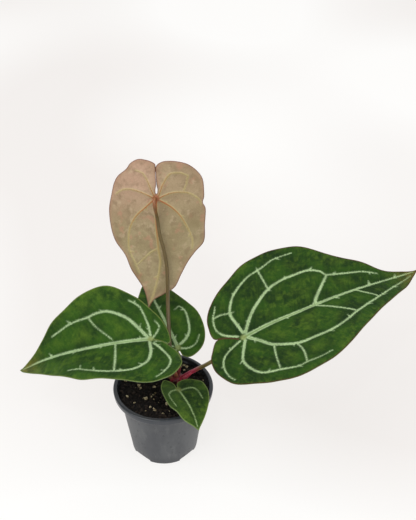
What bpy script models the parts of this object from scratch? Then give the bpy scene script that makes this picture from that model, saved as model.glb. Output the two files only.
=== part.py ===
"""Anthurium crystallinum standing in its nursery pot, as closed solids.

Metres, +Z up. The origin is the centre of the pot's underside, +X is to the right
and -Y is towards the viewer. Outline and vein points are in millimetres on the flat
leaf: the first number runs from the stalk's joint to the tip, the second to the left.
"""
import math
from collections import namedtuple

import bmesh
import bpy
import numpy as np
from mathutils import Matrix, Vector, geometry, noise

MM = 0.001
# Left between pieces that touch in the real plant.
GAP = 0.0003

# The pot. The lip is the flat top of the rim, and the ledge the step inside under it.
POT_HEIGHT = 0.078
RIM_RADIUS = 0.050
RIM_DEPTH = 0.0065
BODY_TOP_RADIUS = 0.0435
BASE_RADIUS = 0.0335
LIP_WIDTH = 0.0040
WALL = 0.0020
LEDGE = 0.0018
POT_STEPS = 64

# Four slanting notches in the foot's edge: their turns and lean in degrees, how far
# out they start, and the size of the block that cuts each one.
NOTCH_TURNS = (47, 137, 227, 317)
NOTCH_LEAN = 38
NOTCH_REACH = 0.0296
NOTCH_SIZE = (0.020, 0.021, 0.040)

# The soil's level and the height of its lumps, and the stem that comes out of it.
SOIL_TOP = 0.0731
SOIL_LUMP = 0.0016
CROWN_PLACE = Vector((0.0135, 0.0115, 0.0))
CROWN_RADIUS = 0.0085

# The blades. Veins are sunk by the relief, in a groove about as wide as the reach, and
# the steps are the mesh's, inside and along the edge: all but the first in millimetres.
BLADE_THICKNESS = 0.0008
VEIN_RELIEF = 0.7
VEIN_REACH = 3.2
MESH_STEP = 6.4
EDGE_STEP = 6.0

Leaf = namedtuple("Leaf", "base heading pitch roll bend bend_length sway fold curl width "
                          "stalk_side wave lap left right veins")

LEAF_RIGHT = Leaf(
    base=(78.8, -5.7, 146), heading=21.5, pitch=22, roll=7.5, bend=28, bend_length=200,
    sway=-5, fold=0.19, curl=0.04, width=65, stalk_side=-1, wave=0.7, lap=1.3,
    left=[(-5, 2), (-16, 9.7), (-24, 13.4), (-26, 18), (-25, 26), (-21, 37), (-9, 50), (9, 61), (30, 70),
          (49, 74), (68, 74), (87, 69), (105, 57), (120, 42), (137, 29), (151, 16), (163, 8),
          (177, 4), (191, 3)],
    right=[(-5, 1), (-15, 8.3), (-22, 11.5), (-27, 10), (-33, 3), (-38, -5), (-40, -17),
           (-38, -29), (-32, -43), (-23, -53), (-11, -61), (4, -69), (18, -75), (36, -78),
           (53, -76), (73, -70), (97, -57), (118, -44), (141, -32), (165, -19), (181, -6),
           (191, 3)],
    veins=[[(0, 0), (30, -1), (60, -3), (100, -3), (140, -2), (170, 0), (188, 2)],
           [(4, 4), (16, 16), (28, 25), (45, 34), (72, 37), (89, 36), (103, 24), (121, 19),
            (137, 15), (150, 9)],
           [(2, 5), (1, 17), (1, 30), (10, 43), (21, 51), (48, 59), (72, 63), (84, 62)],
           [(-4, 5), (-15, 13), (-19, 23), (-16, 34), (-8, 45)],
           [(4, -3), (11, -13), (20, -27), (40, -40), (58, -42), (76, -42), (94, -37),
            (105, -32), (134, -22), (152, -15), (169, -8)],
           [(0, -4), (-9, -19), (-12, -27), (-10, -39), (-3, -51), (13, -59), (37, -66), (59, -69)],
           [(-5, -2), (-19, -6), (-27, -12), (-31, -22), (-31, -33), (-28, -41)]])

LEAF_LEFT = Leaf(
    base=(-10.4, -5.7, 144), heading=184, pitch=-2, roll=-15, bend=36, bend_length=135,
    sway=-3, fold=0.42, curl=0.05, width=55, stalk_side=-1, wave=0.8, lap=-1.2,
    left=[(-3, 1.4), (-10, 4.3), (-15, 9.3), (-24, 20), (-28, 33), (-28, 41), (-22, 51),
          (-15, 57), (-2, 61), (12, 60), (27, 55), (43, 49), (61, 45), (75, 38), (92, 29),
          (115, 16), (134, 6), (141, 0)],
    right=[(-3, 0.4), (-10, 3.2), (-15, 7.6), (-19, 4), (-18, -5), (-14, -14), (-8, -22), (0, -30),
           (10, -40), (24, -50), (36, -55), (49, -55), (63, -51), (77, -44), (93, -33),
           (108, -20), (119, -11), (131, -5), (141, 0)],
    veins=[[(0, 0), (30, 0), (60, 0), (95, -1), (120, -1), (138, 0)],
           [(3, -3), (12, -13), (22, -23), (38, -31), (58, -30), (79, -26), (97, -20)],
           [(0, -4), (1, -12), (5, -24), (9, -32), (18, -39)],
           [(1, 4), (0, 17), (2, 29), (7, 36), (15, 41), (33, 41), (55, 34), (78, 27)],
           [(-3, 6), (-10, 16), (-17, 29), (-17, 39), (-11, 49), (-4, 55)]])

LEAF_NEW = Leaf(
    base=(-6.3, 95, 239), heading=-86, pitch=-67, roll=11, bend=-8, bend_length=120,
    sway=-5, fold=-0.05, curl=0.12, width=50, stalk_side=1, wave=0.8, lap=0.7,
    left=[(-5, 1.5), (-10, 2.2), (-15, 1.5), (-24, 1.4), (-32, 2.4), (-36, 7), (-37, 14), (-36, 24),
          (-33, 33), (-26, 41), (-17, 46), (-2, 47), (5, 45.5), (12, 48), (28, 47), (44, 46),
          (54, 38), (64, 31), (76, 25), (89, 19), (96, 9), (102, -1), (111, -6)],
    right=[(-5, 0), (-10, -0.2), (-15, 0.8), (-24, 0.7), (-32, 1), (-35, -0.5), (-38, -7), (-39, -16),
           (-35, -24), (-29, -29), (-22, -38), (-14, -43), (-3, -46), (12, -49), (28, -48),
           (44, -43), (58, -32), (73, -25), (90, -13), (103, -8), (111, -6)],
    veins=[[(0, 0), (27, 0), (51, 2), (63, 4), (77, 2.5), (95, -1.5), (106, -5)],
           [(3, -3), (9, -11), (18, -21), (29, -27), (41, -29), (52, -28), (64, -22), (75, -17)],
           [(3, 4), (8, 14), (17, 23), (29, 30), (41, 35), (50, 35)],
           [(-1, -4), (-6, -14), (-9, -25), (-8, -34), (-4, -41)],
           [(-1, 5), (-5, 14), (-6, 25), (-4, 34), (2, 42)],
           [(-4, -2), (-16, -7), (-25, -12), (-28, -19)],
           [(-4, 3), (-15, 8), (-24, 15), (-25, 25), (-22, 32)]])

LEAF_BACK = Leaf(
    base=(15, 16.3, 114), heading=115, pitch=22, roll=-5, bend=25, bend_length=85,
    sway=0, fold=0.15, curl=0.08, width=35, stalk_side=-1, wave=0.5, lap=0,
    left=[(-4, 1), (-8, 3), (-9, 9), (-6, 17), (1, 25), (12, 32), (26, 34), (42, 31),
          (56, 25), (68, 18), (80, 10), (90, 4), (100, -3)],
    right=[(-4, -0.4), (-10, -1.2), (-14, -7), (-12, -16), (-6, -25), (4, -31), (17, -34),
           (32, -34), (46, -30), (60, -24), (74, -19), (88, -11), (100, -3)],
    veins=[[(0, 0), (25, 0), (50, 0), (75, -1), (97, -3)],
           [(3, -4), (6, -11), (12, -17), (28, -22), (46, -20), (66, -14)],
           [(-2, -3), (-4, -8), (-4, -14), (-1, -20), (5, -25)],
           [(3, 4), (8, 12), (16, 19), (30, 23), (48, 21), (66, 13)]])

LEAF_FRONT = Leaf(
    base=(15.7, -16.4, 88), heading=-57, pitch=-3, roll=-11, bend=31, bend_length=50,
    sway=-5, fold=0.25, curl=0.06, width=24, stalk_side=-1, wave=0.35, lap=0,
    left=[(-3, 1), (-7, 2.5), (-9, 7), (-8, 15), (-4, 21), (2, 26), (9, 26), (15, 25),
          (24, 21), (31, 16), (38, 10), (44, 4), (49, -1)],
    right=[(-3, -0.5), (-8, 0), (-12, -1.5), (-15, -5), (-15, -9), (-8, -16), (0, -20),
           (10, -22), (19, -22), (26, -18), (34, -16), (39, -12), (44, -6), (49, -1)],
    veins=[[(0, 0), (15, 0), (30, 0), (46, -1)],
           [(2, 3), (3, 9), (7, 15), (20, 16), (32, 9)],
           [(0, -3), (2, -11), (8, -16), (20, -15), (33, -9)]])

LEAVES = {"leaf_right": LEAF_RIGHT, "leaf_left": LEAF_LEFT, "leaf_new_upright": LEAF_NEW,
          "leaf_back": LEAF_BACK, "leaf_front_small": LEAF_FRONT}

Stalk = namedtuple("Stalk", "leaf route foot_radius top_radius")

STALKS = {
    "stalk_right": Stalk("leaf_right", [(18, 11.5, 77.5), (23.5, 10.8, 83), (33, 7, 93),
                                        (49, -4, 114), (67, -6, 132)], 2.3, 1.7),
    "stalk_left": Stalk("leaf_left", [(9.3, 9.8, 77.5), (6, 2, 89), (0, -6, 108),
                                      (-8, -8.5, 130)], 2.1, 1.6),
    "stalk_new_upright": Stalk("leaf_new_upright",
                               [(13.2, 12.2, 77.5), (11.4, 7.5, 89), (8.6, -0.5, 104),
                                (7.3, 8, 119), (6.3, 22, 127), (5, 42, 145), (4.7, 53, 166),
                                (3.7, 61.5, 183), (0.9, 68, 197.5), (-2.5, 74.4, 209),
                                (-4.7, 81.5, 222)], 2.2, 1.5),
    "stalk_back": Stalk("leaf_back", [(14.6, 16.2, 77.5), (16.3, 18.8, 87), (16.5, 19, 100)], 1.7, 1.3),
    "stalk_front_small": Stalk("leaf_front_small", [(14.4, 7.4, 77.5), (15.5, -2, 82),
                                                    (15.4, -11, 84)], 1.5, 1.1)}

# Place on the crown, lean outwards, turn, height and radius of each bud sheath.
SHEATHS = [(19.5, 8.3, 42, -10, 17, 2.7), (10.8, 15, 12, 150, 14, 2.4),
           (17, 5.8, 14, -70, 10, 2.2), (7.2, 12.5, 24, 175, 12, 2.2), (8.8, 6, 20, 215, 9, 2)]


def clear_scene():
    for thing in list(bpy.data.objects):
        bpy.data.objects.remove(thing, do_unlink=True)


def new_collection(name):
    group = bpy.data.collections.new(name)
    bpy.context.scene.collection.children.link(group)
    return group


def material(name, colour, roughness):
    made = bpy.data.materials.new(name)
    made.use_nodes = True
    shader = made.node_tree.nodes["Principled BSDF"]
    shader.inputs["Base Color"].default_value = (*colour, 1.0)
    shader.inputs["Roughness"].default_value = roughness
    shader.inputs["Metallic"].default_value = 0.0
    return made


def link(name, mesh, group, paint=None):
    thing = bpy.data.objects.new(name, mesh)
    group.objects.link(thing)
    if paint:
        mesh.materials.append(paint)
    return thing


def apply_modifiers(thing):
    """Swap the object's mesh for the evaluated one and drop its modifiers."""
    bpy.context.view_layer.update()
    graph = bpy.context.evaluated_depsgraph_get()
    made = bpy.data.meshes.new_from_object(thing.evaluated_get(graph))
    thing.modifiers.clear()
    thing.data = made
    return thing


def lathe(name, profile, steps, group, paint=None):
    """Spin a closed loop of (radius, height) points about Z with the Screw modifier."""
    mesh = bpy.data.meshes.new(name)
    points = [(radius, 0.0, height) for radius, height in profile]
    edges = [(i, i + 1) for i in range(len(points) - 1)]
    mesh.from_pydata(points, edges, [])
    thing = link(name, mesh, group, paint)
    screw = thing.modifiers.new("Screw", "SCREW")
    screw.steps = steps
    screw.render_steps = steps
    screw.use_merge_vertices = True
    screw.merge_threshold = 0.00005
    screw.use_normal_calculate = True
    apply_modifiers(thing)
    face_out(thing.data)
    return thing


def face_out(mesh):
    shape = bmesh.new()
    shape.from_mesh(mesh)
    bmesh.ops.remove_doubles(shape, verts=shape.verts, dist=0.00001)
    bmesh.ops.recalc_face_normals(shape, faces=shape.faces)
    shape.to_mesh(mesh)
    shape.free()
    mesh.shade_smooth()
    mesh.set_sharp_from_angle(angle=math.radians(40))


def cut(thing, cutter, operation="DIFFERENCE"):
    boolean = thing.modifiers.new("Boolean", "BOOLEAN")
    boolean.operation = operation
    boolean.solver = "EXACT"
    boolean.object = cutter
    return apply_modifiers(thing)


def box_cutter(name, size, place, turn, group):
    mesh = bpy.data.meshes.new(name)
    shape = bmesh.new()
    bmesh.ops.create_cube(shape, size=1.0, matrix=Matrix.Diagonal((*size, 1.0)))
    shape.transform(Matrix.Translation(place) @ turn.to_4x4())
    shape.to_mesh(mesh)
    shape.free()
    return hide_cutter(link(name, mesh, group))


def hide_cutter(thing):
    thing.hide_render = True
    thing.display_type = "WIRE"
    return thing


def make_pot(group, cutters):
    """The pot: tapered wall, short rolled rim, drain notches cut in the foot's edge."""
    inner_top = RIM_RADIUS - LIP_WIDTH
    inner_base = BASE_RADIUS - WALL
    rim_foot = POT_HEIGHT - RIM_DEPTH
    profile = [(0.0, POT_HEIGHT * 0.03),
               (inner_base - 0.001, POT_HEIGHT * 0.03),
               (inner_base, POT_HEIGHT * 0.045),
               (BODY_TOP_RADIUS - WALL, rim_foot - LEDGE / 2),
               (inner_top - 0.0011, rim_foot + LEDGE),
               (inner_top, POT_HEIGHT - 0.0012),
               (inner_top + 0.0008, POT_HEIGHT - 0.0002),
               (RIM_RADIUS - 0.0014, POT_HEIGHT),
               (RIM_RADIUS - 0.0003, POT_HEIGHT - 0.0006),
               (RIM_RADIUS, POT_HEIGHT - 0.0018),
               (RIM_RADIUS - 0.0006, rim_foot + 0.0006),
               (RIM_RADIUS - 0.0016, rim_foot),
               (BODY_TOP_RADIUS + 0.0012, rim_foot),
               (BODY_TOP_RADIUS, rim_foot - 0.0012),
               (BASE_RADIUS, 0.0022),
               (BASE_RADIUS - 0.0006, 0.0006),
               (BASE_RADIUS - 0.0022, 0.0),
               (0.0, 0.0)]
    pot = lathe("pot", profile[::-1], POT_STEPS, group,
                material("pot_grey", (0.105, 0.108, 0.112), 0.55))
    for turn in NOTCH_TURNS:
        angle = math.radians(turn)
        spot = Vector((NOTCH_REACH * math.cos(angle), NOTCH_REACH * math.sin(angle), 0.0))
        lean = Matrix.Rotation(angle, 3, "Z") @ Matrix.Rotation(math.radians(NOTCH_LEAN), 3, "Y")
        place = spot + lean @ Vector((NOTCH_SIZE[0] / 2, 0.0, 0.0))
        cut(pot, box_cutter("foot_notch_%d" % turn, NOTCH_SIZE, place, lean, cutters))
    face_out(pot.data)
    return pot


def soil_height(place):
    """Lumps of bark and stone on the soil, lower by the wall than by the plant."""
    broad = noise.noise(place * 55.0) * 0.8
    lumps = noise.voronoi(place * 210.0)[0][0]
    near = math.exp(-((place.xy - CROWN_PLACE.xy).length / 0.012) ** 4)
    return SOIL_LUMP * (broad + 0.9 - 1.6 * lumps) * (1 - near) + 0.0015 * near


def make_soil(group, cutters):
    """The soil, one lumpy plug that fills the pot, with a hole for the crown."""
    top = RIM_RADIUS - LIP_WIDTH - 0.0011 - 2 * GAP
    neck = BODY_TOP_RADIUS - WALL - GAP - 0.0004
    rings = [(top * (i / 14.0), SOIL_TOP) for i in range(15)]
    slope = (BODY_TOP_RADIUS - BASE_RADIUS) / (POT_HEIGHT - RIM_DEPTH)
    base = 0.0090
    base_radius = BASE_RADIUS - WALL - GAP - 0.0004 + slope * base
    profile = [(0.0, POT_HEIGHT * 0.03 + GAP), (base_radius - 0.009, POT_HEIGHT * 0.03 + GAP),
               (base_radius, base), (neck, POT_HEIGHT - RIM_DEPTH - LEDGE / 2)] + rings[::-1]
    soil = lathe("soil", profile, 48, group, material("potting_mix", (0.035, 0.028, 0.022), 0.95))
    for vertex in soil.data.vertices:
        if vertex.co.z > SOIL_TOP - 0.0001 and vertex.co.xy.length < top * 0.97:
            vertex.co.z += soil_height(vertex.co)
    hole = bpy.data.meshes.new("crown_hole")
    shape = bmesh.new()
    bmesh.ops.create_cone(shape, cap_ends=True, segments=20, radius1=CROWN_RADIUS * 0.75,
                          radius2=CROWN_RADIUS * 0.75, depth=0.030,
                          matrix=Matrix.Translation(CROWN_PLACE + Vector((0, 0, SOIL_TOP + 0.006))))
    shape.to_mesh(hole)
    shape.free()
    cut(soil, hide_cutter(link("crown_hole", hole, cutters)))
    face_out(soil.data)
    return soil


def smooth_path(points, step):
    """A Catmull-Rom line through the points, with a new point about every step."""
    pts = np.array(points, float)
    ends = np.vstack([2 * pts[0] - pts[1], pts, 2 * pts[-1] - pts[-2]])
    out = []
    for i in range(1, len(ends) - 2):
        p0, p1, p2, p3 = ends[i - 1:i + 3]
        count = max(1, int(round(np.linalg.norm(p2 - p1) / step)))
        for t in np.arange(count) / count:
            out.append(0.5 * (2 * p1 + (p2 - p0) * t + (2 * p0 - 5 * p1 + 4 * p2 - p3) * t ** 2
                              + (3 * p1 - p0 - 3 * p2 + p3) * t ** 3))
    out.append(pts[-1])
    return np.array(out)


def nearest(points, path):
    """Distance to a line of points, and how far along it the nearest place lies."""
    start, span = path[:-1], np.diff(path, axis=0)
    length = np.linalg.norm(span, axis=1)
    run = np.concatenate([[0.0], np.cumsum(length)])[:-1]
    away = points[:, None, :] - start[None]
    t = np.clip((away * span).sum(-1) / np.maximum(length ** 2, 1e-9), 0, 1)
    gap = np.linalg.norm(away - t[..., None] * span, axis=-1)
    best = gap.argmin(1)
    row = np.arange(len(points))
    return gap[row, best], run[best] + t[row, best] * length[best]


def leaf_axes(leaf):
    turn = (Matrix.Rotation(math.radians(leaf.heading), 3, "Z")
            @ Matrix.Rotation(math.radians(-leaf.pitch), 3, "Y")
            @ Matrix.Rotation(math.radians(leaf.roll), 3, "X"))
    return [np.array(turn.col[i]) for i in range(3)]


def bend_blade(leaf, flat, lift):
    """Take points of the flat leaf into space: arched along, folded and curled across."""
    along, across, up = leaf_axes(leaf)
    u, v = flat[:, 0], flat[:, 1]
    rate = math.radians(leaf.bend) / leaf.bend_length
    angle = np.where(u > 0, rate * u, 0.0)
    forward = np.where(u > 0, np.sin(angle) / rate, u)
    drop = np.where(u > 0, (np.cos(angle) - 1) / rate, 0.0)
    sway = 0.5 * math.radians(leaf.sway) / leaf.bend_length * u * u
    rise = leaf.fold * (np.sqrt(v * v + 9) - 3) - leaf.curl * v * v / leaf.width + lift
    upright = up * np.cos(angle)[:, None] + along * np.sin(angle)[:, None]
    return (np.array(leaf.base) + along * forward[:, None] + up * drop[:, None]
            + across * (v + sway)[:, None] + upright * rise[:, None])


def lobe_lap(leaf, flat):
    """How far one lobe's inner edge rides over the other's, where they meet."""
    left, right = np.array(leaf.left[:3], float), np.array(leaf.right[:3], float)
    gap = np.minimum(nearest(flat, left)[0], nearest(flat, right)[0])
    middle = (left[::-1] + right[::-1]) / 2
    side = np.where(flat[:, 1] < np.interp(flat[:, 0], middle[:, 0], middle[:, 1]), 1, -0.4)
    return leaf.lap * side * np.exp(-gap / 5.0) * np.clip((-flat[:, 0] - 2) / 6, 0, 1)


def blade_lift(leaf, flat, outline):
    """Waves along the margin, and veins sunk above and raised below."""
    edge, along_edge = nearest(flat, outline)
    wave = np.sin(along_edge / 9.3 + leaf.heading) + 0.6 * np.sin(along_edge / 5.1)
    wave *= leaf.wave * np.exp(-edge / 8.0)
    wave *= 1 - np.exp(-(np.linalg.norm(flat, axis=1) / 16.0) ** 2)
    wave += lobe_lap(leaf, flat)
    vein = np.min([nearest(flat, smooth_path(path, MESH_STEP))[0] for path in leaf.veins], axis=0)
    ridge = VEIN_RELIEF * np.exp(-(vein / VEIN_REACH) ** 2)
    return wave + leaf.stalk_side * ridge


def leaf_outline(leaf):
    left = smooth_path(leaf.left, EDGE_STEP)
    right = smooth_path(leaf.right, EDGE_STEP)
    return np.vstack([right, left[-2::-1]])


def flat_leaf(leaf):
    """Split the flat outline into even triangles that follow the veins."""
    outline = leaf_outline(leaf)
    if np.allclose(outline[0], outline[-1]):
        outline = outline[:-1]
    points = [Vector(p) for p in outline]
    count = len(points)
    edges = [(i, (i + 1) % count) for i in range(count)]
    loop = np.vstack([outline, outline[:1]])
    paths = [smooth_path(path, MESH_STEP) for path in leaf.veins]
    for path in paths:
        keep = path[nearest(path, loop)[0] > 1.5]
        edges += [(len(points) + i, len(points) + i + 1) for i in range(len(keep) - 1)]
        points += [Vector(p) for p in keep]
    low, high = outline.min(0), outline.max(0)
    rows = np.arange(low[1], high[1], MESH_STEP * 0.87)
    grid = np.array([(u + (i % 2) * MESH_STEP / 2, v) for i, v in enumerate(rows)
                     for u in np.arange(low[0], high[0], MESH_STEP)])
    grid = grid[nearest(grid, loop)[0] > EDGE_STEP * 0.55]
    clear = np.min([nearest(grid, path)[0] for path in paths], axis=0) > MESH_STEP * 0.6
    points += [Vector(p) for p in grid[clear]]
    made = geometry.delaunay_2d_cdt(points, edges, [], 1, 0.01)
    return np.array([tuple(p) for p in made[0]]), made[2], loop


def make_blade(name, leaf, group, paint):
    """A leaf blade: one triangulated sheet given its thickness by Solidify."""
    flat, faces, outline = flat_leaf(leaf)
    place = bend_blade(leaf, flat, blade_lift(leaf, flat, outline)) * MM
    mesh = bpy.data.meshes.new(name)
    mesh.from_pydata([tuple(p) for p in place], [], [tuple(f) for f in faces])
    thing = link(name, mesh, group, paint)
    solid = thing.modifiers.new("Solidify", "SOLIDIFY")
    solid.thickness = BLADE_THICKNESS
    solid.offset = 0.0
    apply_modifiers(thing)
    face_out(thing.data)
    return thing


def stalk_route(stalk):
    """The stalk's route, ending just under the blade and square to it."""
    leaf = LEAVES[stalk.leaf]
    under = leaf_axes(leaf)[2] * leaf.stalk_side
    joint = np.array(leaf.base) + under * (VEIN_RELIEF + (BLADE_THICKNESS / 2 + GAP) / MM)
    return [np.array(p, float) for p in stalk.route] + [joint + under * 9.0, joint]


def stalk_tube(name, stalk, group, grow=0.0, below=0.0):
    """A tapered round stalk with a slightly swollen knee under the blade."""
    route = stalk_route(stalk)
    curve = bpy.data.curves.new(name, "CURVE")
    curve.dimensions = "3D"
    curve.bevel_depth = 1.0
    curve.bevel_resolution = 2
    curve.resolution_u = 4
    curve.use_fill_caps = True
    spline = curve.splines.new("BEZIER")
    spline.bezier_points.add(len(route) - 1)
    for i, point in enumerate(route):
        share = i / (len(route) - 1)
        radius = stalk.foot_radius + (stalk.top_radius - stalk.foot_radius) * share
        if i >= len(route) - 2:
            radius *= 1.12
        knot = spline.bezier_points[i]
        knot.co = Vector(point) * MM - Vector((0, 0, below if i == 0 else 0.0))
        knot.handle_left_type = knot.handle_right_type = "AUTO"
        knot.radius = radius * MM + grow
    shape = bpy.data.objects.new(name, curve)
    group.objects.link(shape)
    bpy.context.view_layer.update()
    graph = bpy.context.evaluated_depsgraph_get()
    mesh = bpy.data.meshes.new_from_object(shape.evaluated_get(graph))
    bpy.data.objects.remove(shape)
    face_out(mesh)
    return link(name, mesh, group)


def make_stalks(group):
    made = {}
    for name, stalk in STALKS.items():
        made[name] = stalk_tube(name, stalk, group)
        made[name].data.materials.append(material(name + "_green", (0.16, 0.17, 0.06), 0.5))
    return made


def make_crown(group, cutters):
    """The short stem in the soil with its bud sheaths, holed for the stalks' feet."""
    mesh = bpy.data.meshes.new("crown")
    shape = bmesh.new()
    bmesh.ops.create_cone(shape, cap_ends=True, segments=18, radius1=CROWN_RADIUS * 0.5,
                          radius2=CROWN_RADIUS * 0.70, depth=0.016,
                          matrix=Matrix.Translation(CROWN_PLACE + Vector((0, 0, SOIL_TOP - 0.0004))))
    shape.to_mesh(mesh)
    shape.free()
    crown = link("crown", mesh, group, material("bud_sheath", (0.36, 0.03, 0.07), 0.45))
    head = bpy.data.meshes.new("crown_head")
    shape = bmesh.new()
    bmesh.ops.create_uvsphere(shape, u_segments=18, v_segments=9, radius=CROWN_RADIUS)
    shape.transform(Matrix.Translation(CROWN_PLACE + Vector((0, 0, SOIL_TOP + 0.0068)))
                    @ Matrix.Diagonal((1.1, 1.0, 0.36, 1.0)))
    shape.to_mesh(head)
    shape.free()
    cut(crown, hide_cutter(link("crown_head", head, cutters)), "UNION")
    for i, (x, y, lean, turn, height, radius) in enumerate(SHEATHS):
        sheath = bpy.data.meshes.new("bud_sheath_%d" % i)
        shape = bmesh.new()
        bmesh.ops.create_cone(shape, cap_ends=True, segments=10, radius1=radius * MM,
                              radius2=0.0006, depth=height * MM,
                              matrix=Matrix.Translation((0, 0, height * MM / 2)))
        tilt = (Matrix.Rotation(math.radians(turn), 4, "Z")
                @ Matrix.Rotation(math.radians(lean), 4, "Y"))
        shape.transform(Matrix.Translation((x * MM, y * MM, SOIL_TOP + 0.0055)) @ tilt)
        shape.to_mesh(sheath)
        shape.free()
        cut(crown, hide_cutter(link("bud_sheath_%d" % i, sheath, cutters)), "UNION")
    for name, stalk in STALKS.items():
        foot = stalk_tube("foot_" + name, stalk, cutters, grow=GAP, below=GAP)
        cut(crown, hide_cutter(foot))
    face_out(crown.data)
    return crown


def main():
    clear_scene()
    parts = new_collection("anthurium_crystallinum_with_pot")
    cutters = new_collection("cutters")
    cutters.hide_render = True
    make_pot(parts, cutters)
    make_soil(parts, cutters)
    make_crown(parts, cutters)
    make_stalks(parts)
    for name, leaf in LEAVES.items():
        colour = (0.30, 0.22, 0.14) if name == "leaf_new_upright" else (0.035, 0.075, 0.02)
        make_blade(name, leaf, parts, material(name + "_blade", colour, 0.55))


main()
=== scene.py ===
import math

import bmesh
import bpy
import numpy as np
from mathutils import Matrix, Vector, geometry, noise


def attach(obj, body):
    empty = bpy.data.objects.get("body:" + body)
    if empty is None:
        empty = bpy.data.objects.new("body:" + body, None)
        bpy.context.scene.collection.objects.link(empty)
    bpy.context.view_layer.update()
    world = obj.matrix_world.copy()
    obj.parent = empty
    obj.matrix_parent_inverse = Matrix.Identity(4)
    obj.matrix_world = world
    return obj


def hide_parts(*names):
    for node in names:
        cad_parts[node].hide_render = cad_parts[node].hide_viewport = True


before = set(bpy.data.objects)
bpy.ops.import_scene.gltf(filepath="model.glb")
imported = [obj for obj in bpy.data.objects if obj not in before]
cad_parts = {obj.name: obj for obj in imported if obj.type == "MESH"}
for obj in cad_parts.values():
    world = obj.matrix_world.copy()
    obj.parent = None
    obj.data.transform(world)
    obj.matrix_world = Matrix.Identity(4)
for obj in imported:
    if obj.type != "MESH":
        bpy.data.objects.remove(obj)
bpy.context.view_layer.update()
scene = bpy.context.scene


# The plant stands on a plain pale floor in soft studio light, seen from the front and
# well above: the camera looks down at 36.5 degrees from 1.1 m.
look_down = 36.5
plant_middle = (0.02, 0.02, 0.10)
eye = bpy.data.objects.new("camera", bpy.data.cameras.new("camera"))
scene.collection.objects.link(eye)
eye.location = (0.0448, -0.8096, 0.8332)
eye.rotation_euler = (math.radians(90.0 - look_down), 0.0, 0.0)
eye.data.lens = 76.15
eye.data.sensor_width = 36.0
scene.camera = eye


def softbox(name, place, target, size, watts, colour=(1.0, 1.0, 1.0)):
    """A square area light that faces its target."""
    lamp = bpy.data.lights.new(name, "AREA")
    lamp.size = size
    lamp.energy = watts
    lamp.color = colour
    holder = bpy.data.objects.new(name, lamp)
    scene.collection.objects.link(holder)
    holder.location = place
    aim = Vector(target) - Vector(place)
    holder.rotation_euler = aim.to_track_quat("-Z", "Y").to_euler()


softbox("window_light", (-0.9, -0.7, 1.6), plant_middle, 1.2, 17.0, (1.0, 0.99, 0.97))
softbox("fill_light", (1.3, -0.9, 1.0), plant_middle, 1.4, 7.5)
softbox("small_lamp", (-0.14, -1.15, 1.75), (0.0, 0.0, 0.08), 0.16, 5.0)
softbox("top_light", (0.1, 0.5, 1.9), plant_middle, 1.4, 10.5)

world = bpy.data.worlds.new("studio")
world.use_nodes = True
world.node_tree.nodes["Background"].inputs["Color"].default_value = (0.97, 0.97, 1.0, 1.0)
world.node_tree.nodes["Background"].inputs["Strength"].default_value = 0.68
scene.world = world
scene.view_settings.view_transform = "Standard"


def new_material(name, colour, roughness, sockets=None):
    """A Principled material, and its node tree and shader."""
    made = bpy.data.materials.new(name)
    made.use_nodes = True
    shader = made.node_tree.nodes["Principled BSDF"]
    shader.inputs["Base Color"].default_value = (*colour, 1.0)
    shader.inputs["Roughness"].default_value = roughness
    for socket, value in (sockets or {}).items():
        shader.inputs[socket].default_value = value
    return made, made.node_tree, shader


def srgb(red, green, blue):
    """A colour as seen on a screen, 0 to 255, turned into the linear values of a shader."""
    return tuple(((c / 255 + 0.055) / 1.055) ** 2.4 if c > 10 else c / 255 / 12.92
                 for c in (red, green, blue))


def node(tree, kind, inputs=None, **settings):
    """A shader node with its settings, and inputs that are values or links."""
    made = tree.nodes.new("ShaderNode" + kind)
    for setting, value in settings.items():
        setattr(made, setting, value)
    for socket, value in (inputs or {}).items():
        if isinstance(value, bpy.types.NodeSocket):
            tree.links.new(value, made.inputs[socket])
        else:
            made.inputs[socket].default_value = value
    return made


def noise_value(tree, place, scale, detail=3.0, rough=0.55):
    """A soft random value over a place, from 0 to 1."""
    return node(tree, "TexNoise", {"Vector": place, "Scale": scale, "Detail": detail,
                                   "Roughness": rough}).outputs["Fac"]


def ramp(tree, value, low, high, to_low=0.0, to_high=1.0):
    """A soft step: value from low to high gives to_low to to_high."""
    return node(tree, "MapRange", {0: value, 1: low, 2: high, 3: to_low, 4: to_high},
                interpolation_type="SMOOTHSTEP").outputs[0]


def blend(tree, share, one, two):
    """One colour turned into another by a share from 0 to 1."""
    mixed = tree.nodes.new("ShaderNodeMix")
    mixed.data_type = "RGBA"
    for socket, value in ((0, share), (6, one), (7, two)):
        if isinstance(value, bpy.types.NodeSocket):
            tree.links.new(value, mixed.inputs[socket])
        elif socket == 0:
            mixed.inputs[0].default_value = value
        else:
            mixed.inputs[socket].default_value = (*value, 1.0)
    return mixed.outputs[2]


def pale_paper():
    """A pale backdrop that glows a little, so that shadows on it stay faint and soft. Its glow carries
    painted patches of dappled shade.
    """
    made, tree, shader = new_material("pale_paper", srgb(96, 96, 96), 1.0, {
        "Specular IOR Level": 0.0, "Emission Strength": 1.0})
    place = node(tree, "TexCoord").outputs["Object"]
    # Painted dappled shade: soft noise patches make the glow a little darker here and there.
    cloud = noise_value(tree, place, 1.3, 1.0, 0.5)
    share = node(tree, "MapRange", {0: cloud, 1: 0.42, 2: 0.56}).outputs[0]
    glow_with_painted_dapple = blend(tree, share, srgb(226, 222, 219), srgb(238, 237, 235))
    tree.links.new(glow_with_painted_dapple, shader.inputs["Emission Color"])
    return made


bpy.ops.mesh.primitive_plane_add(size=6.0, location=(0.0, 0.0, -0.0004))
floor = bpy.context.object
floor.name = "floor"
floor.data.materials.append(pale_paper())


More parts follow.
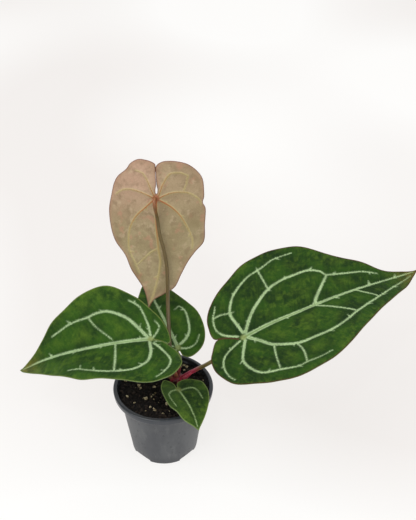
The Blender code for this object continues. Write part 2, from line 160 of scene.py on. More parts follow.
# The pot is one thin injection-moulded shell of dark grey plastic, 100 mm across the
# rim. Its rim turns out and down in a short collar, and four slots are cut in the foot.
pot_height = 0.078
rim_radius = 0.050
rim_depth = 0.0065
ledge = 0.0018
body_top = 0.0435
base_radius = 0.0335
wall = 0.0020
pot_floor = pot_height * 0.03
foot_round = 0.0020
collar_round = 0.0010
lip_round = 0.0016
slot_turns = (47, 137, 227, 317)
slot_lean = 38
slot_reach = 0.0296
slot_size = (0.020, 0.021, 0.040)


def sums(tree, operation, one, two):
    """A sum worked out on two values of a shader."""
    return node(tree, "Math", {0: one, 1: two}, operation=operation).outputs[0]


def times(tree, one, two):
    return sums(tree, "MULTIPLY", one, two)


def plus(tree, one, two):
    return sums(tree, "ADD", one, two)


def bump(tree, shader, height, strength, distance):
    """Fine relief in the surface of a material, without any change of its shape."""
    made = node(tree, "Bump", {"Height": height, "Strength": strength, "Distance": distance})
    tree.links.new(made.outputs[0], shader.inputs["Normal"])


def coats(tree, shader, colour, *layers):
    """The base colour, with coats laid over it in turn: each is a share and a tint."""
    for share, tint in layers:
        colour = blend(tree, share, colour, tint)
    tree.links.new(colour, shader.inputs["Base Color"])


def stretched(tree, place, stretch):
    """A place whose Z counts less, so that marks on it run lengthwise."""
    return node(tree, "Mapping", {"Vector": place, "Scale": (1.0, 1.0, stretch)}).outputs[0]


def reach_of(tree, place):
    """How far a place lies from the origin."""
    return node(tree, "VectorMath", {0: place}, operation="LENGTH").outputs["Value"]


def moulded_plastic():
    """Matt grey plastic with dried water marks, dust and a finely sparked surface, and painted shade inside
    the rim and towards the foot.
    """
    made, tree, shader = new_material("moulded_grey_plastic", srgb(70, 72, 75), 0.5)
    place = node(tree, "TexCoord").outputs["Object"]
    tall = stretched(tree, place, 0.35)
    cloud = noise_value(tree, tall, 45.0, 4.0)
    marks = ramp(tree, noise_value(tree, tall, 160.0, 5.0, 0.65), 0.52, 0.72)
    drops = node(tree, "TexVoronoi", {"Vector": stretched(tree, place, 0.7), "Scale": 230.0}).outputs[0]
    specks = times(tree, ramp(tree, drops, 0.34, 0.20),
                   ramp(tree, noise_value(tree, place, 60.0, 2.0), 0.48, 0.60))
    height = node(tree, "SeparateXYZ", {"Vector": place}).outputs["Z"]
    collar = ramp(tree, height, pot_height - rim_depth - 0.0010, pot_height - rim_depth + 0.0005)
    reach = reach_of(tree, stretched(tree, place, 0.0))
    # Painted shade: the inner wall above the soil is darkened, first by the collar's dark coat and then by
    # this one, for the shade inside the pot.
    inner_wall_painted_shade = times(tree, collar, ramp(tree, reach, rim_radius - 0.0036, rim_radius - 0.0042))
    coats(tree, shader, blend(tree, ramp(tree, cloud, 0.3, 0.7), srgb(58, 60, 64), srgb(76, 78, 80)),
          (times(tree, marks, 0.40), srgb(104, 105, 104)),
          (times(tree, specks, 0.6), srgb(40, 41, 44)),
          # The collar coat is the lip's own dark bluish colour; on the inner wall above the soil it is
          # painted shade.
          (times(tree, collar, 0.8), srgb(42, 46, 52)),
          (times(tree, inner_wall_painted_shade, 0.8), srgb(34, 35, 38)),
          # Painted shade: the pot darkens over its lowest 14 mm, towards the floor.
          (ramp(tree, height, 0.014, 0.0, 0.0, 0.35), srgb(44, 45, 47)))
    rough = plus(tree, ramp(tree, collar, 0.0, 1.0, 0.48, 0.10), times(tree, marks, 0.08))
    tree.links.new(rough, shader.inputs["Roughness"])
    bump(tree, shader, noise_value(tree, place, 2600.0, 2.0), 0.12, 0.0004)
    return made


def link_piece(name, mesh, *finishes):
    """An object at the origin with its finishes."""
    piece = bpy.data.objects.new(name, mesh)
    scene.collection.objects.link(piece)
    for finish in finishes:
        mesh.materials.append(finish)
    return piece


def evaluated(piece):
    """The piece with its modifiers worked into its mesh."""
    bpy.context.view_layer.update()
    graph = bpy.context.evaluated_depsgraph_get()
    made = bpy.data.meshes.new_from_object(piece.evaluated_get(graph))
    piece.modifiers.clear()
    piece.data = made
    return piece


def mesh_from(name, shape):
    """A new mesh from an edited shape, which is then let go."""
    mesh = bpy.data.meshes.new(name)
    shape.to_mesh(mesh)
    shape.free()
    return mesh


def tidy(mesh, angle=40.0):
    """Merge doubles, face outwards, and shade smooth but for sharp edges."""
    shape = bmesh.new()
    shape.from_mesh(mesh)
    bmesh.ops.remove_doubles(shape, verts=shape.verts, dist=0.000005)
    bmesh.ops.recalc_face_normals(shape, faces=shape.faces)
    shape.to_mesh(mesh)
    shape.free()
    mesh.shade_smooth()
    mesh.set_sharp_from_angle(angle=math.radians(angle))


def turned(name, profile, steps, *finishes):
    """A (radius, height) profile spun about Z with the Screw modifier."""
    mesh = bpy.data.meshes.new(name)
    points = [(radius, 0.0, height) for radius, height in profile]
    mesh.from_pydata(points, [(i, i + 1) for i in range(len(points) - 1)], [])
    piece = link_piece(name, mesh, *finishes)
    screw = piece.modifiers.new("Screw", "SCREW")
    screw.steps = screw.render_steps = steps
    screw.use_merge_vertices = True
    screw.merge_threshold = 0.00002
    return evaluated(piece)


def arc(centre, radius, start, stop, count):
    """Points round a circle in the profile plane, from one angle to another, in degrees."""
    return [(centre[0] + radius * math.cos(math.radians(start + (stop - start) * i / count)),
             centre[1] + radius * math.sin(math.radians(start + (stop - start) * i / count)))
            for i in range(count + 1)]


collar_foot = pot_height - rim_depth
outer = ([(0.0, 0.0), (base_radius - 0.0022, 0.0)]
         + arc((base_radius - foot_round, 0.0022), foot_round, -80, -6, 6)
         + [(base_radius + (body_top - base_radius) * t, 0.003 + (collar_foot - 0.0045) * t)
            for t in (0.15, 0.3, 0.5, 0.7, 0.85)]
         + [(body_top, collar_foot - 0.0012), (body_top + 0.0003, collar_foot - 0.0004),
            (body_top + 0.0012, collar_foot), (rim_radius - 0.0016, collar_foot)]
         + arc((rim_radius - 0.0014, collar_foot + collar_round), collar_round, -70, 0, 5)
         + arc((rim_radius - lip_round, pot_height - lip_round), lip_round, 0, 90, 8))
inner = (arc((rim_radius - lip_round * 2, pot_height - lip_round / 2), lip_round / 2, 90, 180, 5)
         + [(rim_radius - 0.0044, collar_foot + 0.004), (rim_radius - 0.0051, collar_foot + ledge),
            (body_top - wall, collar_foot - ledge / 2),
            (base_radius - wall + 0.0003, pot_height * 0.05),
            (base_radius - wall - 0.001, pot_floor), (0.0, pot_floor)])
pot = turned("nursery_pot", outer + inner, 160, moulded_plastic())
tidy(pot.data)
for turn in slot_turns:
    angle = math.radians(turn)
    lean = Matrix.Rotation(angle, 4, "Z") @ Matrix.Rotation(math.radians(slot_lean), 4, "Y")
    spot = Vector((slot_reach * math.cos(angle), slot_reach * math.sin(angle), 0.0))
    shape = bmesh.new()
    bmesh.ops.create_cube(shape, size=1.0, matrix=Matrix.Diagonal((*slot_size, 1.0)))
    shape.transform(Matrix.Translation(spot) @ lean @ Matrix.Translation((slot_size[0] / 2, 0.0, 0.0)))
    cutter = link_piece("drain_slot", mesh_from("drain_slot", shape))
    boolean = pot.modifiers.new("Boolean", "BOOLEAN")
    boolean.operation = "DIFFERENCE"
    boolean.object = cutter
    evaluated(pot)
    bpy.data.objects.remove(cutter)
tidy(pot.data)
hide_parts("pot")
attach(pot, "root")


# The potting mix is dark bark and peat, filled to 5 mm below the rim, with pale pumice
# and brown bark chips lying in and on it.
MM = 0.001
soil_gap = 0.0003
soil_top = 0.0731
soil_radius = rim_radius - 0.0057
crown_place = Vector((0.0135, 0.0115, 0.0))


def soil_height(place):
    """Lumps of mix, lower by the wall than by the plant, with a fine crumb."""
    broad = noise.noise(place * 55.0) * 0.8
    lumps = noise.voronoi(place * 210.0)[0][0]
    near = math.exp(-((place.xy - crown_place.xy).length / 0.012) ** 4)
    crumb = noise.fractal(place * 700.0, 0.8, 2.0, 3) * 0.00045
    return 0.0016 * (broad + 0.9 - 1.6 * lumps) * (1 - near) + 0.0010 * near + crumb


def soil_finish():
    """Near-black moist peat, browner on the lumps."""
    made, tree, shader = new_material("moist_peat", srgb(20, 17, 16), 0.9, {"Specular IOR Level": 0.2})
    place = node(tree, "TexCoord").outputs["Object"]
    crumb = noise_value(tree, place, 900.0, 6.0, 0.7)
    coats(tree, shader, srgb(14, 12, 12), (ramp(tree, crumb, 0.45, 0.75), srgb(44, 35, 29)))
    bump(tree, shader, crumb, 0.8, 0.0012)
    return made


rings = [(soil_radius * i / 90.0, soil_top) for i in range(91)]
soil_foot = [(0.0, pot_floor + soil_gap), (0.0240, pot_floor + soil_gap), (0.0323, 0.0090),
             (0.0408, collar_foot - ledge / 2)]
soil = turned("potting_soil", soil_foot + rings[::-1], 200, soil_finish())
for vertex in soil.data.vertices:
    reach = vertex.co.xy.length
    if vertex.co.z > soil_top - 0.0001 and reach < soil_radius * 0.995:
        vertex.co.z += soil_height(vertex.co) * min(1.0, (soil_radius - reach) / 0.0012)
tidy(soil.data, 60.0)
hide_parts("soil")
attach(soil, "root")


def grain(name, seed, squash, rough):
    """One small broken grain with 80 faces, 1 mm across."""
    shape = bmesh.new()
    bmesh.ops.create_icosphere(shape, subdivisions=2, radius=0.0005)
    for vertex in shape.verts:
        push = noise.noise(vertex.co * 2600.0 + Vector((seed * 7.0, 0.0, 0.0)))
        vertex.co *= 1.0 + rough * push
        vertex.co.x *= squash[0]
        vertex.co.y *= squash[1]
        vertex.co.z *= squash[2]
    return link_piece(name, mesh_from(name, shape))


def scatter_tree(name):
    """Geometry nodes that strew grains over a surface, each turned and sized at random."""
    tree = bpy.data.node_groups.new(name, "GeometryNodeTree")
    face = tree.interface
    face.new_socket("Geometry", in_out="OUTPUT", socket_type="NodeSocketGeometry")
    for socket, kind in (("Geometry", "Geometry"), ("Grain", "Object"), ("Per Square Metre", "Float"),
                         ("Smallest", "Float"), ("Largest", "Float"), ("Seed", "Int"),
                         ("Finish", "Material")):
        face.new_socket(socket, in_out="INPUT", socket_type="NodeSocket" + kind)
    entry = tree.nodes.new("NodeGroupInput")
    leave = tree.nodes.new("NodeGroupOutput")
    strew = tree.nodes.new("GeometryNodeDistributePointsOnFaces")
    look = tree.nodes.new("GeometryNodeObjectInfo")
    size = tree.nodes.new("FunctionNodeRandomValue")
    spin = tree.nodes.new("FunctionNodeRandomValue")
    spin.data_type = "FLOAT_VECTOR"
    spin.inputs[1].default_value = (6.28, 6.28, 6.28)
    place = tree.nodes.new("GeometryNodeInstanceOnPoints")
    real = tree.nodes.new("GeometryNodeRealizeInstances")
    paint = tree.nodes.new("GeometryNodeSetMaterial")
    for one, two in ((entry.outputs["Geometry"], strew.inputs["Mesh"]),
                     (entry.outputs["Per Square Metre"], strew.inputs["Density"]),
                     (entry.outputs["Seed"], strew.inputs["Seed"]),
                     (entry.outputs["Grain"], look.inputs["Object"]),
                     (entry.outputs["Smallest"], size.inputs[2]),
                     (entry.outputs["Largest"], size.inputs[3]),
                     (entry.outputs["Seed"], size.inputs["Seed"]),
                     (strew.outputs["Points"], place.inputs["Points"]),
                     (look.outputs["Geometry"], place.inputs["Instance"]),
                     (size.outputs[1], place.inputs["Scale"]),
                     (spin.outputs[0], place.inputs["Rotation"]),
                     (place.outputs["Instances"], real.inputs["Geometry"]),
                     (real.outputs["Geometry"], paint.inputs["Geometry"]),
                     (entry.outputs["Finish"], paint.inputs["Material"]),
                     (paint.outputs["Geometry"], leave.inputs["Geometry"])):
        tree.links.new(one, two)
    return tree


def strew_grains(name, surface, tree, values):
    """Run the scatter over a copy of the surface and keep the grains as a plain mesh."""
    piece = link_piece(name, surface.copy())
    modifier = piece.modifiers.new("Scatter", "NODES")
    modifier.node_group = tree
    for item in tree.interface.items_tree:
        if item.in_out == "INPUT" and item.name in values:
            modifier[item.identifier] = values[item.name]
    evaluated(piece)
    piece.data.shade_flat()
    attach(piece, "root")


def grain_finish(name, dark, light, scale):
    """A dull, flecked and pitted skin for loose grains."""
    made, tree, shader = new_material(name, light, 0.9, {"Specular IOR Level": 0.25})
    place = node(tree, "TexCoord").outputs["Object"]
    fleck = noise_value(tree, place, scale, 4.0, 0.6)
    coats(tree, shader, dark, (ramp(tree, fleck, 0.35, 0.65), light))
    bump(tree, shader, noise_value(tree, place, scale * 5, 3.0), 0.5, 0.0004)
    return made


bed = bmesh.new()
bed.from_mesh(soil.data)
inside = [f for f in bed.faces if f.calc_center_median().z > soil_top - 0.0015
          and f.calc_center_median().xy.length < soil_radius - 0.0022
          and (f.calc_center_median().xy - crown_place.xy).length > 0.0085]
away = [f for f in bed.faces if f not in set(inside)]
bmesh.ops.delete(bed, geom=away, context="FACES")
bed_mesh = mesh_from("soil_bed", bed)
scatter = scatter_tree("strew_over_soil")
pumice = grain_finish("pale_pumice", srgb(112, 97, 70), srgb(196, 182, 148), 420.0)
bark = grain_finish("bark_chip", srgb(20, 17, 16), srgb(54, 44, 37), 300.0)
peat = grain_finish("peat_crumb", srgb(13, 11, 11), srgb(38, 30, 25), 500.0)
for name, finish, seed, squash, count, small, large in (
        ("pumice_large", pumice, 3, (1.15, 0.9, 0.8), 1600, 2.0, 3.4),
        ("pumice_small", pumice, 8, (1.0, 1.0, 0.8), 6500, 0.9, 1.9),
        ("bark_chips", bark, 5, (1.5, 0.8, 0.55), 60000, 1.6, 4.2),
        ("peat_crumbs", peat, 6, (1.2, 0.9, 0.8), 170000, 0.8, 2.0)):
    shape = grain(name + "_grain", seed, squash, 0.55)
    strew_grains(name, bed_mesh, scatter, {
        "Grain": shape, "Per Square Metre": float(count), "Smallest": small, "Largest": large,
        "Seed": seed, "Finish": finish})
    bpy.data.objects.remove(shape)


def place_grains(name, places, finish):
    """Single larger grains, each at its place on the soil, with its size in millimetres."""
    heap = bmesh.new()
    for i, (x, y, size) in enumerate(places):
        single = grain("one_grain", 20 + i, (1.15, 0.95, 0.8), 0.55)
        lift = soil_top + soil_height(Vector((x * MM, y * MM, soil_top)))
        single.data.transform(Matrix.Translation((x * MM, y * MM, lift + size * MM / 5))
                              @ Matrix.Rotation(i * 1.7, 4, (0.3, 0.4, 1.0)) @ Matrix.Scale(size, 4))
        heap.from_mesh(single.data)
        bpy.data.objects.remove(single)
    piece = link_piece(name, mesh_from(name, heap), finish)
    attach(piece, "root")


place_grains("pumice_on_top", [
    (-38.5, 11, 2.8), (-24.5, 4, 4.2), (-23, 1, 2.4), (-16.8, -14.5, 4.4), (-9, 1.5, 2.9), (-8, -5, 2.2),
    (-11.8, -26.5, 2.7), (-7.5, -30.5, 3.0), (1, -36.5, 2.6), (-35.5, -11.5, 2.6), (4.5, -22, 4.2),
    (-28, -19, 2.0), (-2, -13, 2.0), (17, 32, 3.0), (20, 35, 3.2), (23, 32, 3.0), (15.5, 28, 2.4),
    (26.5, 27, 2.6), (20.5, 28, 2.4)], pumice)


# The leaves are drawn flat first, in millimetres: the first number runs from the
# stalk's joint to the tip, the second to the left. Each is then arched, folded and waved.
blade_thickness = 0.0006
vein_relief = 0.7
vein_reach = 3.2


def smooth_path(points, step):
    """A Catmull-Rom line through the points, with a new point about every step."""
    pts = np.array(points, float)
    ends = np.vstack([2 * pts[0] - pts[1], pts, 2 * pts[-1] - pts[-2]])
    out = []
    for i in range(1, len(ends) - 2):
        p0, p1, p2, p3 = ends[i - 1:i + 3]
        count = max(1, int(round(np.linalg.norm(p2 - p1) / step)))
        for t in np.arange(count) / count:
            out.append(0.5 * (2 * p1 + (p2 - p0) * t + (2 * p0 - 5 * p1 + 4 * p2 - p3) * t ** 2
                              + (3 * p1 - p0 - 3 * p2 + p3) * t ** 3))
    out.append(pts[-1])
    return np.array(out)


def nearest(points, path):
    """Distance to a line of points, and how far along it the nearest place lies."""
    start, span = path[:-1], np.diff(path, axis=0)
    length = np.linalg.norm(span, axis=1)
    run = np.concatenate([[0.0], np.cumsum(length)])[:-1]
    gaps, places = [], []
    for block in np.array_split(points, max(1, len(points) // 4000)):
        away = block[:, None, :] - start[None]
        t = np.clip((away * span).sum(-1) / np.maximum(length ** 2, 1e-9), 0, 1)
        gap = np.linalg.norm(away - t[..., None] * span, axis=-1)
        best = gap.argmin(1)
        row = np.arange(len(block))
        gaps.append(gap[row, best])
        places.append(run[best] + t[row, best] * length[best])
    return np.concatenate(gaps), np.concatenate(places)


def leaf_axes(leaf):
    """Along, across and up for a leaf, from its heading, pitch and roll in degrees."""
    turn = (Matrix.Rotation(math.radians(leaf["heading"]), 3, "Z")
            @ Matrix.Rotation(math.radians(-leaf["pitch"]), 3, "Y")
            @ Matrix.Rotation(math.radians(leaf["roll"]), 3, "X"))
    return [np.array(turn.col[i]) for i in range(3)]


def bend_blade(leaf, flat, lift):
    """Take flat points into space: arched by bend degrees over bend_length millimetres,
    folded up from the midrib, and curled down towards the margins."""
    along, across, up = leaf_axes(leaf)
    u, v = flat[:, 0], flat[:, 1]
    rate = math.radians(leaf["bend"]) / leaf["bend_length"]
    angle = np.where(u > 0, rate * u, 0.0)
    forward = np.where(u > 0, np.sin(angle) / rate, u)
    drop = np.where(u > 0, (np.cos(angle) - 1) / rate, 0.0)
    sway = 0.5 * math.radians(leaf["sway"]) / leaf["bend_length"] * u * u
    rise = leaf["fold"] * (np.sqrt(v * v + 9) - 3) - leaf["curl"] * v * v / leaf["width"] + lift
    upright = up * np.cos(angle)[:, None] + along * np.sin(angle)[:, None]
    return (np.array(leaf["base"]) + along * forward[:, None] + up * drop[:, None]
            + across * (v + sway)[:, None] + upright * rise[:, None])


def vein_spurs(veins, seed):
    """Short pointed spurs beside the main veins, as the real leaf has."""
    chance = np.random.default_rng(seed)
    made = []
    for wide, narrow, path in veins:
        line = smooth_path(path, 1.0)
        place = chance.uniform(5, 12)
        while wide > 1.6 and place < len(line) - 6:
            i = int(place)
            ahead = line[i + 1] - line[i]
            ahead /= max(np.linalg.norm(ahead), 1e-6)
            side = np.array([-ahead[1], ahead[0]]) * chance.choice([-1, 1])
            out = side * chance.uniform(0.8, 1.3) + ahead * chance.uniform(0.2, 1.0)
            reach = chance.uniform(1.0, 2.4) + wide / 2
            made.append((wide * 0.75, 0.1, [line[i], line[i] + out * reach]))
            place += chance.uniform(16, 42)
    return made


def vein_gap(flat, veins):
    """Signed distance from each point to the nearest vein's edge: below 0 inside it.
    A vein is its width at the start, its width at the end, and the points it runs by."""
    gap = np.full(len(flat), 99.0)
    for wide, narrow, path in veins:
        line = smooth_path(path, 1.5) if len(path) > 2 else np.array(path, float)
        away, place = nearest(flat, line)
        share = place / max(np.linalg.norm(np.diff(line, axis=0), axis=1).sum(), 1e-6)
        gap = np.minimum(gap, away - 0.5 * (wide + (narrow - wide) * share))
    return gap


def leaf_sheet(leaf, step):
    """Flat points and even triangles inside the leaf's outline."""
    left = smooth_path(leaf["left"], step)
    right = smooth_path(leaf["right"], step)
    outline = np.vstack([right, left[-2::-1]])
    if np.allclose(outline[0], outline[-1]):
        outline = outline[:-1]
    loop = np.vstack([outline, outline[:1]])
    low, high = outline.min(0), outline.max(0)
    rows = np.arange(low[1], high[1], step * 0.87)
    grid = np.array([(u + (i % 2) * step / 2, v) for i, v in enumerate(rows)
                     for u in np.arange(low[0], high[0], step)])
    grid = grid[nearest(grid, loop)[0] > step * 0.55]
    points = [Vector(p) for p in outline] + [Vector(p) for p in grid]
    edges = [(i, (i + 1) % len(outline)) for i in range(len(outline))]
    made = geometry.delaunay_2d_cdt(points, edges, [], 1, 0.001)
    used = sorted({i for face in made[2] for i in face})
    place = {old: new for new, old in enumerate(used)}
    return (np.array([tuple(made[0][i]) for i in used]),
            [[place[i] for i in face] for face in made[2]], loop)


def lobe_lap(leaf, flat):
    """How far one lobe's inner edge rides over the other's, where they meet, in mm."""
    left, right = np.array(leaf["left"][:3], float), np.array(leaf["right"][:3], float)
    gap = np.minimum(nearest(flat, left)[0], nearest(flat, right)[0])
    middle = (left[::-1] + right[::-1]) / 2
    side = np.where(flat[:, 1] < np.interp(flat[:, 0], middle[:, 0], middle[:, 1]), 1, -0.4)
    return leaf["lap"] * side * np.exp(-gap / 5.0) * np.clip((-flat[:, 0] - 2) / 6, 0, 1)


def sheet_shape(leaf, flat, loop, veins):
    """Where the sheet's points go, and each point's distance to the margin."""
    edge, along_edge = nearest(flat, loop)
    wave = np.sin(along_edge / 9.3 + leaf["heading"]) + 0.6 * np.sin(along_edge / 5.1)
    wave *= leaf["wave"] * np.exp(-edge / 8.0)
    wave *= 1 - np.exp(-(np.linalg.norm(flat, axis=1) / 16.0) ** 2)
    wave += lobe_lap(leaf, flat)
    main = [path for wide, narrow, path in veins if wide >= 1.4]
    vein = np.min([nearest(flat, smooth_path(path, 3.0))[0] for path in main], axis=0)
    sunk = vein_relief * np.exp(-(vein / vein_reach) ** 2)
    fine = np.array([noise.noise(Vector((u / 5.0, v / 5.0, leaf["heading"]))) for u, v in flat])
    broad = np.array([noise.noise(Vector((u / 17.0, v / 17.0, leaf["seed"]))) for u, v in flat])
    puff = (0.18 * fine + 0.55 * broad) * np.clip(vein / 5.0, 0, 1) * np.clip(edge / 6.0, 0, 1)
    return bend_blade(leaf, flat, wave + leaf["stalk_side"] * sunk + puff) * MM, edge


def keep_value(mesh, label, values):
    """Keep one number for each point of a mesh, for a material to read."""
    store = mesh.attributes.new(label, "FLOAT", "POINT")
    store.data.foreach_set("value", values.astype(np.float32))


def make_leaf(name, leaf, node_name, front, back):
    """A leaf blade with its vein, margin and place on the leaf kept as attributes."""
    veins = leaf["veins"] + vein_spurs(leaf["veins"], leaf["seed"])
    flat, faces, loop = leaf_sheet(leaf, leaf["step"])
    place, edge = sheet_shape(leaf, flat, loop, leaf["veins"])
    mesh = bpy.data.meshes.new(name)
    mesh.from_pydata([tuple(p) for p in place], [], [tuple(f) for f in faces])
    keep_value(mesh, "vein", vein_gap(flat, veins))
    keep_value(mesh, "margin", edge)
    store = mesh.attributes.new("flat", "FLOAT_VECTOR", "POINT")
    store.data.foreach_set("vector", np.column_stack([flat, flat[:, 0] * 0]).ravel().astype(np.float32))
    piece = link_piece(name, mesh, front, back)
    solid = piece.modifiers.new("Solidify", "SOLIDIFY")
    solid.thickness = blade_thickness
    solid.offset = 0.0
    solid.material_offset = 1
    solid.material_offset_rim = 1
    evaluated(piece)
    piece.data.shade_smooth()
    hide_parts(node_name)
    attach(piece, "root")


def attribute(tree, name, output="Fac"):
    """What make_leaf or make_stalk kept for each point of the mesh."""
    return node(tree, "Attribute", attribute_name=name).outputs[output]


def lateral_ribs(tree, flat):
    """Fine faint ribs that run outwards and forwards from the midrib, as a value."""
    parts = node(tree, "SeparateXYZ", {"Vector": flat})
    side = sums(tree, "ABSOLUTE", parts.outputs["Y"], 0.0)
    ahead = sums(tree, "SUBTRACT", parts.outputs["X"], times(tree, side, 0.45))
    lines = node(tree, "CombineXYZ", {0: ahead, 1: times(tree, side, 0.08),
                                      2: ramp(tree, parts.outputs["Y"], -0.1, 0.1, 0.0, 30.0)})
    return noise_value(tree, lines.outputs[0], 0.42, 2.0, 0.5)


def velvet_leaf(name, deep, green, bright, vein, rim, tip, patch=0.5, groove=0.6):
    """Velvety green: mottled, with painted shade beside the sunken veins, which are pale with torn edges.
    It yellows between the two places along the blade that tip gives, in millimetres."""
    made, tree, shader = new_material(name, green, 0.55, {
        "Sheen Weight": 0.02, "Sheen Roughness": 0.5, "Specular IOR Level": 0.08})
    flat = attribute(tree, "flat", "Vector")
    gap = attribute(tree, "vein")
    edge = attribute(tree, "margin")
    broad = ramp(tree, noise_value(tree, flat, 0.035, 3.0, 0.6), 0.38, 0.62)
    blotch = noise_value(tree, flat, 0.17, 4.0, 0.65)
    grainy = noise_value(tree, flat, 0.9, 3.0, 0.6)
    olive = ramp(tree, noise_value(tree, flat, 0.045, 3.0, 0.55), 0.48, 0.66, 0.0, 0.45)
    light = times(tree, ramp(tree, blotch, 0.44, 0.66), ramp(tree, gap, 1.5, 13.0, 0.15, 1.0))
    ribs = lateral_ribs(tree, flat)
    drift = node(tree, "TexNoise", {"Vector": flat, "Scale": 0.22}).outputs["Color"]
    bent = node(tree, "VectorMath", {0: drift, 1: (6.0, 6.0, 0.0), 2: flat},
                operation="MULTIPLY_ADD").outputs[0]
    cells = node(tree, "TexVoronoi", {"Vector": bent, "Scale": 0.12}, feature="DISTANCE_TO_EDGE")
    torn = sums(tree, "SUBTRACT", noise_value(tree, flat, 0.62, 5.0, 0.8), 0.5)
    torn = plus(tree, gap, times(tree, torn, 4.4))
    fade = ramp(tree, noise_value(tree, flat, 0.07, 3.0), 0.30, 0.62, 0.62, 1.0)
    halo = ramp(tree, torn, 1.4, 0.0, 0.0, 0.28)
    line = ramp(tree, torn, 0.42, -0.22)
    along = node(tree, "SeparateXYZ", {"Vector": flat}).outputs["X"]
    yellowed = times(tree, ramp(tree, along, *tip), ramp(tree, blotch, 0.35, 0.6, 0.25, 0.8))
    coats(tree, shader, blend(tree, broad, deep, green),
          (times(tree, olive, ramp(tree, gap, 2.0, 12.0)), bright),
          (times(tree, light, patch), bright),
          (ramp(tree, grainy, 0.3, 0.75, 0.0, 0.30), deep),
          (ramp(tree, ribs, 0.45, 0.9, 0.0, 0.24), bright),
          (ramp(tree, ribs, 0.45, 0.1, 0.0, 0.35), deep),
          (ramp(tree, cells.outputs["Distance"], 0.05, 0.0, 0.0, 0.11), bright),
          # Painted shade: the blade darkens beside the veins, in the grooves the veins sink into.
          (ramp(tree, gap, 4.0, 0.3, 0.0, 0.22), deep),
          (times(tree, halo, fade), vein),
          (times(tree, line, fade), vein),
          (ramp(tree, gap, -0.65, -1.3, 0.0, groove), blend(tree, 0.32, bright, vein)),
          (ramp(tree, reach_of(tree, flat), 4.5, 1.5, 0.0, 0.75), srgb(122, 132, 74)),
          (yellowed, srgb(116, 110, 46)),
          (ramp(tree, edge, 1.2, 0.5), rim))
    shine = ramp(tree, line, 0.0, 1.0, 0.52, 0.62)
    tree.links.new(shine, shader.inputs["Roughness"])
    relief = plus(tree, noise_value(tree, flat, 2.6, 3.0, 0.6), times(tree, line, -0.7))
    relief = plus(tree, relief, times(tree, blotch, 1.4))
    relief = plus(tree, relief, times(tree, ribs, 1.6))
    bump(tree, shader, relief, 0.6, 0.0007)
    return made


def leaf_underside(name, body, vein):
    """The dull, paler underside, with the veins standing out of it."""
    made, tree, shader = new_material(name, body, 0.7)
    flat = attribute(tree, "flat", "Vector")
    gap = attribute(tree, "vein")
    cloud = noise_value(tree, flat, 0.2, 4.0)
    line = ramp(tree, gap, 0.4, -0.3)
    coats(tree, shader, body, (ramp(tree, cloud, 0.3, 0.7, 0.0, 0.45), vein),
          (times(tree, line, 0.8), vein))
    bump(tree, shader, plus(tree, line, cloud), 0.5, 0.0006)
    return made


# The widest leaf stands out to the right, its tip just turned up, on the olive stalk.
# Its blade is dark, with a thin red-brown margin, and the lobes close over the joint.
leaf_right = dict(
    base=(78.8, -5.7, 146), heading=21.5, pitch=22, roll=7.5, bend=28, bend_length=200,
    sway=-5, fold=0.19, curl=0.04, width=65, stalk_side=-1, wave=0.7, lap=1.3, seed=11, step=1.15,
    left=[(-5, 2), (-16, 9.7), (-24, 13.4), (-26, 18), (-25, 26), (-21, 37), (-9, 50), (9, 61), (30, 70),
          (49, 74), (68, 74), (87, 69), (105, 57), (120, 42), (137, 29), (151, 16), (163, 8),
          (177, 4), (191, 3)],
    right=[(-5, 1), (-15, 8.3), (-22, 11.5), (-27, 10), (-33, 3), (-38, -5), (-40, -17),
           (-38, -29), (-32, -43), (-23, -53), (-11, -61), (4, -69), (18, -75), (36, -78),
           (53, -76), (73, -70), (97, -57), (118, -44), (141, -32), (165, -19), (181, -6),
           (191, 3)],
    veins=[(4.2, 1.0, [(0, 0), (30, -1), (60, -3), (100, -3), (140, -2), (170, 0), (186, 2)]),
           (2.8, 0.9, [(4, 4), (16, 16), (28, 25), (45, 34), (60, 37), (72, 37), (89, 36),
                       (99, 30), (103, 24), (121, 19), (137, 15), (150, 9)]),
           (1.8, 2.6, [(103, 24), (93, 15), (82, 5), (76, -2)]),
           (2.4, 0.7, [(2, 5), (1, 17), (1, 30), (10, 43), (21, 51), (35, 57), (48, 59),
                       (63, 63), (72, 63), (84, 62)]),
           (1.1, 1.3, [(46, 59), (45, 35)]),
           (1.7, 0.8, [(-4, 4), (-15, 13), (-19, 23), (-16, 34), (-12, 39), (-8, 45)]),
           (1.2, 1.0, [(-16, 34), (-8, 33), (1, 30)]),
           (3.0, 0.8, [(4, -3), (11, -13), (20, -27), (40, -40), (58, -42), (76, -42),
                       (94, -37), (105, -32), (134, -22), (152, -15), (169, -8), (180, -3)]),
           (1.3, 1.3, [(76, -4), (90, -16), (106, -31)]),
           (1.2, 1.2, [(119, -3), (134, -21)]),
           (2.6, 0.7, [(0, -4), (-9, -19), (-12, -27), (-10, -39), (-3, -51), (13, -59),
                       (27, -65), (37, -66), (49, -67), (62, -66)]),
           (1.1, 0.9, [(20, -29), (16, -43), (13, -58)]),
           (1.3, 0.9, [(39, -40), (40, -52), (37, -65)]),
           (2.0, 0.7, [(-5, -2), (-19, -6), (-27, -12), (-31, -22), (-31, -33), (-28, -41)])])
velvet_right = velvet_leaf("velvet_dark_green", srgb(18, 42, 9), srgb(36, 68, 13),
                           srgb(75, 101, 26), srgb(154, 177, 130), srgb(74, 50, 30), (150.0, 200.0), 0.6, 0.8)
dull_green = leaf_underside("dull_green_underside", srgb(78, 100, 58), srgb(128, 146, 98))
make_leaf("blade_right", leaf_right, "leaf_right", velvet_right, dull_green)


